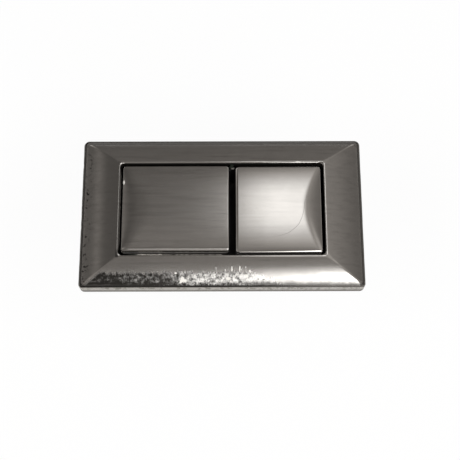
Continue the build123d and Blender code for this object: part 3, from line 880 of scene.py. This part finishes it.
def makeUnderside():  # each width is that of the softened edges, in mm
    black, white, greyNylon, rubber = (moulded(name) for name in
                                       ("black_moulding", "white_moulding", "grey_moulding", "soft_foot"))
    zinc, wire = steel("zinc_steel"), steel("spring_steel")
    softened("guide_tray", black, "plate", 0.15)
    softened("lid_gasket", foam(), "plate", 0.12)
    for side in ("full", "half"):
        softened(side + "_flush_plunger", white, side + "_button", 0.15)
        softened(side + "_flush_lock_nut", greyNylon, side + "_button", 0.35)
        softened(side + "_flush_foot", rubber, side + "_button", 0.6, 3)
        makeRod(side, white)
        makeSpring(side, side + "_flush_press", wire)
    for side in ("left", "right"):
        softened("clamp_claw_" + side, greyNylon, "plate", 0.3)
        softened("wing_nut_" + side, white, "plate", 0.3)
        makeStud(side, zinc)
    print("underside dressed")


# dirt caked in the gaps round the wide button, with painted shade deep in the gaps

caked = {  # along the front of the window, with crumbs on it
    "across": 1, "span": (-29.2, 1.4), "steps": 260, "taper": 12, "level": 6.30, "foot": 5.2, "reach": 0.72,
    "sunk": 0.02, "seed": 7, "count": 34, "size": (0.22, 0.46), "lumps": (-26.0, -17.6),
    "lumpLevels": (6.25, 6.6), "flatness": (1.3, 0.75, 0.7), "uneven": 0.35, "rings": 5, "sides": 8,
    "behind": ((3.0, 14.2, 6.1, 0.45), (2.8, 13.6, 6.25, 0.50), (3.2, 13.2, 6.3, 0.50)),  # in the split
    # shaded and black are painted shade, on the lumps in the split and at the dark left end of the front
    # ribbon
    "pale": (0.47, 0.444, 0.403), "dull": (0.13, 0.122, 0.108), "shaded": (0.07, 0.066, 0.06),
    "black": (0.010, 0.014, 0.010), "darkEnd": (-24.3, -25.1), "shadedY": (0.0, 5.0), "blackY": (12.9, 13.4),
}
leftDirt = {  # along the left of the window
    "across": 0, "span": (-12.6, 12.8), "steps": 220, "taper": 10, "level": 6.62, "foot": 5.4, "reach": 0.42,
    "sunk": 0.02,
}


def frontSection(x):  # share of the reach, rise of the crest, then how the top falls away from the wall
    bumps = [0.16 * wave(x * 2.4, 7.0 + 3.0 * step, 0.0) for step in range(3)]
    top = ((0.3, bumps[0]), (0.6, bumps[1] - 0.04), (0.88, bumps[2] - 0.16), (1.0, -0.5))
    return 0.9 + 0.1 * wave(x * 1.1, 4.0, 0.0), 0.30 * wave(x * 0.6, 2.0, 0.0), top


def leftSection(y):
    bump = 0.10 * wave(6.0, y * 2.6, 1.0)
    top = ((0.45, bump), (0.8, bump - 0.12), (1.0, -0.4))
    return 0.8 + 0.4 * wave(5.0, y * 0.9, 0.0), 0.22 * wave(2.0, y * 0.7, 3.0), top


def makeRibbon(name, values, section, material):  # a lumpy ribbon on a wall of the window
    wall = -bezelSizes().window[values["across"]]
    (first, last), foot, sunk = values["span"], values["foot"], values["sunk"]
    loops = []
    for k in range(values["steps"] + 1):
        share = k / values["steps"]
        along = first + (last - first) * share
        taper = min(1.0, values["taper"] * min(share, 1 - share) + 0.2)
        reachShare, rise, top = section(along)
        reach, crest = values["reach"] * taper * reachShare, values["level"] + rise
        fall = [(reach * out, crest + up) for out, up in top]
        outline = [(-sunk, foot), (-sunk, crest), *fall, (reach * 0.9, foot)]
        loops.append([(along, wall + out, level) if values["across"] else (wall + out, along, level)
                      for out, level in outline])
    newPiece(name, *tube(loops), material, "plate", [], "plated", 80.0)


def makeLumps(material):  # crumbs stuck on the front ribbon, and a tongue between the buttons
    dice = random.Random(caked["seed"])
    wall = -bezelSizes().window[1]
    spots = []
    for _ in range(caked["count"]):
        size = dice.uniform(*caked["size"])
        x, z = dice.uniform(*caked["lumps"]), dice.uniform(*caked["lumpLevels"])
        spots.append((x, wall + size * 0.7, z, size))
    (wide, deep, tall), rings, sides = caked["flatness"], caked["rings"], caked["sides"]
    lumps = []
    for x, y, z, size in spots + list(caked["behind"]):
        loops = []
        for ring in range(1, rings):
            polar = pi * ring / rings
            loop = []
            for angle in circle(sides):
                lump = size * (1 + caked["uneven"] * (dice.random() - 0.5))
                out, up = lump * sin(polar), lump * cos(polar)
                loop.append((x + wide * out * cos(angle), y + deep * out * sin(angle), z + tall * up))
            loops.append(loop)
        lumps.append(tube(loops))
    newPiece("dirt_lumps", *joined(lumps), material, "plate", [], "plated", 80.0)


def cakedFinish():
    sheet = newFinish("caked_grime")
    where = sheet.place()
    x, y, _ = sheet.parts(where)
    patch = sheet.cloud(where, 0.9, 4.0, 0.65)
    fine = sheet.cloud(where, 5.0, 2.0)
    lumpEnd = caked["lumps"][1]
    pale = sheet.ramp(x, lumpEnd + 3.0, lumpEnd)
    share = sheet.ramp(patch + (fine - 0.5) * 0.4 + pale * 0.10, 0.40, 0.66)
    tone = sheet.blend(share, caked["dull"], caked["pale"])
    # painted shade: darker on the lumps in the split, black at the left end of the front ribbon and deep in
    # the split
    tone = sheet.blend(sheet.ramp(y, *caked["shadedY"]) * 0.8, tone, caked["shaded"])
    inShade = sheet.ramp(x + (patch - 0.5) * 2.0, *caked["darkEnd"]).most(sheet.ramp(y, *caked["blackY"]))
    tone = sheet.blend(inShade * 0.95, tone, caked["black"])
    return sheet.surface(colour=tone, rough=0.8 + (fine - 0.5) * 0.2, specular=0.2,
                         normal=sheet.bump(fine + patch, 0.05 * mm))


# light, floor and camera

studio = {
    "floorLevel": -55.3, "floorReach": 6.0, "paper": 0.86, "shadedPaper": 0.97, "glow": 0.93,
    "lamps": {"fill_left": (-0.55, -0.35, 0.75), "fill_right": (0.55, -0.30, 0.75)},
    "lampSize": 0.6, "lampPower": 4.5,
    # how bright the room is at each angle to the side, and how that changes with the tilt to the back
    "room": ((-90, 0.10), (-60, 0.13), (-50, 0.128), (-45, 0.14), (-40, 0.25), (-35, 0.145), (-30, 0.122),
             (-22, 0.122), (-8, 0.155), (6, 0.21), (25, 0.28), (42, 0.19), (58, 0.138), (90, 0.12)),
    "forward": (60.0, -20.0, 0.90, 1.25), "behind": (100.0, 60.0, 0.76, 1.0),
    # pale walls low down at the sides, and pale back corners: height, span and power
    "walls": ((0.40, 0.22), (-0.80, -0.50, 0.80, 0.93), 0.55),
    "corners": ((0.60, 0.44), (18.0, 28.0, 44.0, 52.0), 0.42),
    # lights that the plating mirrors: tilt to the back, angle to the right, both rising and fading, and power
    "lights": {
        "overhead": ((-2.0, 18.0, 27.0, 45.0), (0.6, 1.45, 2.0, 9.5), 1.73),
        "halo": ((-14.0, 14.0, 30.0, 58.0), (2.0, 6.0, 9.0, 26.0), 0.15),
        "frontRight": ((-68.0, -55.0, -37.0, -21.0), (0.8, 6.0, 20.0, 30.0), 4.5),
        "frontSill": ((-58.0, -47.0, -38.0, -27.0), (-6.8, -5.2, -1.0, 2.5), 0.46),
        "frontSheen": ((-8.0, 0.0, 8.0, 17.0), (-9.0, -4.0, 0.0, 2.0), 0.05),
        "rightSheen": ((-12.0, 0.0, 14.5, 21.5), (10.0, 22.0, 48.0, 64.0), 0.20),
        "frontLeft": ((-45.0, -25.0, -8.0, 8.0), (-42.0, -30.0, -20.0, -12.0), 0.22),
    },
    "dimTone": (1.06, 1.0, 0.945), "brightTone": (1.0, 0.993, 0.983), "brightLevels": (0.2, 1.2),
}


def makeWorld():
    world = bpy.data.worlds.new("studio_world")
    bpy.context.scene.world = world
    sheet = Sheet(world)
    degrees = 180 / pi
    x, y, z = sheet.parts(sheet.add("TexCoord", out=0))
    tilt = x.maths("ARCTAN2", y, z) * degrees  # from straight up towards the back
    side = x.maths("ARCSINE", x) * degrees  # towards the right
    turned = x.maths("ARCTAN2", abs(x), y) * degrees  # away from straight back
    stops = [((angle + 90) / 180, grey(level)) for angle, level in studio["room"]]
    room = sheet.add("ValToRGB", {"Fac": (side + 90.0) / 180.0}, {"stops": stops})
    level = room * sheet.ramp(tilt, *studio["forward"]) * sheet.ramp(tilt, *studio["behind"])
    for value, (height, span, power) in ((y, studio["walls"]), (turned, studio["corners"])):
        level = level + sheet.ramp(z, *height) * sheet.band(value, *span) * power
    for tiltSpan, sideSpan, power in studio["lights"].values():
        level = level + sheet.band(tilt, *tiltSpan) * sheet.band(side, *sideSpan) * power
    tone = sheet.blend(sheet.ramp(level, *studio["brightLevels"]), studio["dimTone"], studio["brightTone"])
    glow = sheet.add("Background", {"Color": tone, "Strength": level})
    sheet.add("OutputWorld", {"Surface": glow})


def makeFloor():
    sheet = newFinish("studio_paper")
    patch = sheet.ramp(sheet.cloud(sheet.place(), 0.004, 2.0), 0.3, 0.7)
    tone = sheet.blend(patch, grey(studio["paper"]), grey(studio["paper"] * studio["shadedPaper"]))
    matt = sheet.add("BsdfDiffuse", {"Color": tone})
    white = sheet.add("Emission", {"Color": (1.0, 1.0, 1.0, 1.0), "Strength": 1.0})
    rays = ("Is Camera Ray", "Is Glossy Ray", "Is Transmission Ray")
    direct, mirrored, through = sheet.add("LightPath", out=rays)
    paper = sheet.covered(direct.most(mirrored).most(through) * studio["glow"], matt, white)
    reach, level = studio["floorReach"], studio["floorLevel"] * mm
    corners = [(-reach, -reach, level), (reach, -reach, level), (reach, reach, level), (-reach, reach, level)]
    mesh = bpy.data.meshes.new("studio_floor")
    mesh.from_pydata(corners, [], [(0, 1, 2, 3)])
    mesh.materials.append(paper)
    floor = newObject("studio_floor", mesh)


def makeLamps():  # they fill the matt surfaces, the plating mirrors the room alone
    for name, spot in studio["lamps"].items():
        lamp = bpy.data.lights.new(name, "AREA")
        lamp.shape = "DISK"
        lamp.size = studio["lampSize"]
        lamp.energy = studio["lampPower"]
        holder = newObject(name, lamp)
        holder.location = spot
        holder.rotation_euler = (-Vector(spot)).to_track_quat("-Z", "Y").to_euler()
        holder.visible_glossy = False


# place in mm, angles in degrees, clip in metres
eye = {"spot": (1.84, -121.58, 322.46), "down": 70.0, "turn": 0.2757, "roll": 0.1138, "lens": 89.46,
       "sensor": 36.0, "clip": (0.01, 50.0)}


def makeCamera():
    camera = bpy.data.cameras.new("photo_camera")
    camera.lens = eye["lens"]
    camera.sensor_width = eye["sensor"]
    camera.clip_start, camera.clip_end = eye["clip"]
    down, turn, roll = (radians(eye[key]) for key in ("down", "turn", "roll"))
    ahead = Vector((sin(turn) * cos(down), cos(turn) * cos(down), -sin(down)))
    right = Vector((cos(turn), -sin(turn), 0))
    up = right.cross(ahead)
    right, up = right * cos(roll) + up * sin(roll), up * cos(roll) - right * sin(roll)
    stand = Matrix((right, up, -ahead)).transposed().to_4x4()
    stand.translation = Vector(eye["spot"]) * mm
    holder = newObject("photo_camera", camera)
    holder.matrix_world = stand
    bpy.context.scene.camera = holder


makeCamera()
makeWorld()
makeFloor()
makeLamps()
print("studio ready")
makeBezel()
makeButton("wide")
makeButton("narrow")
makeCurvedLine(moulded("curved_line"))
grimeFinish = cakedFinish()
makeRibbon("caked_dirt", caked, frontSection, grimeFinish)
makeLumps(grimeFinish)
makeRibbon("gap_dirt", leftDirt, leftSection, moulded("gap_grime"))
print("scratch and dirt laid")
makeUnderside()

bpy.context.scene.view_settings.view_transform = "Standard"
print("done")
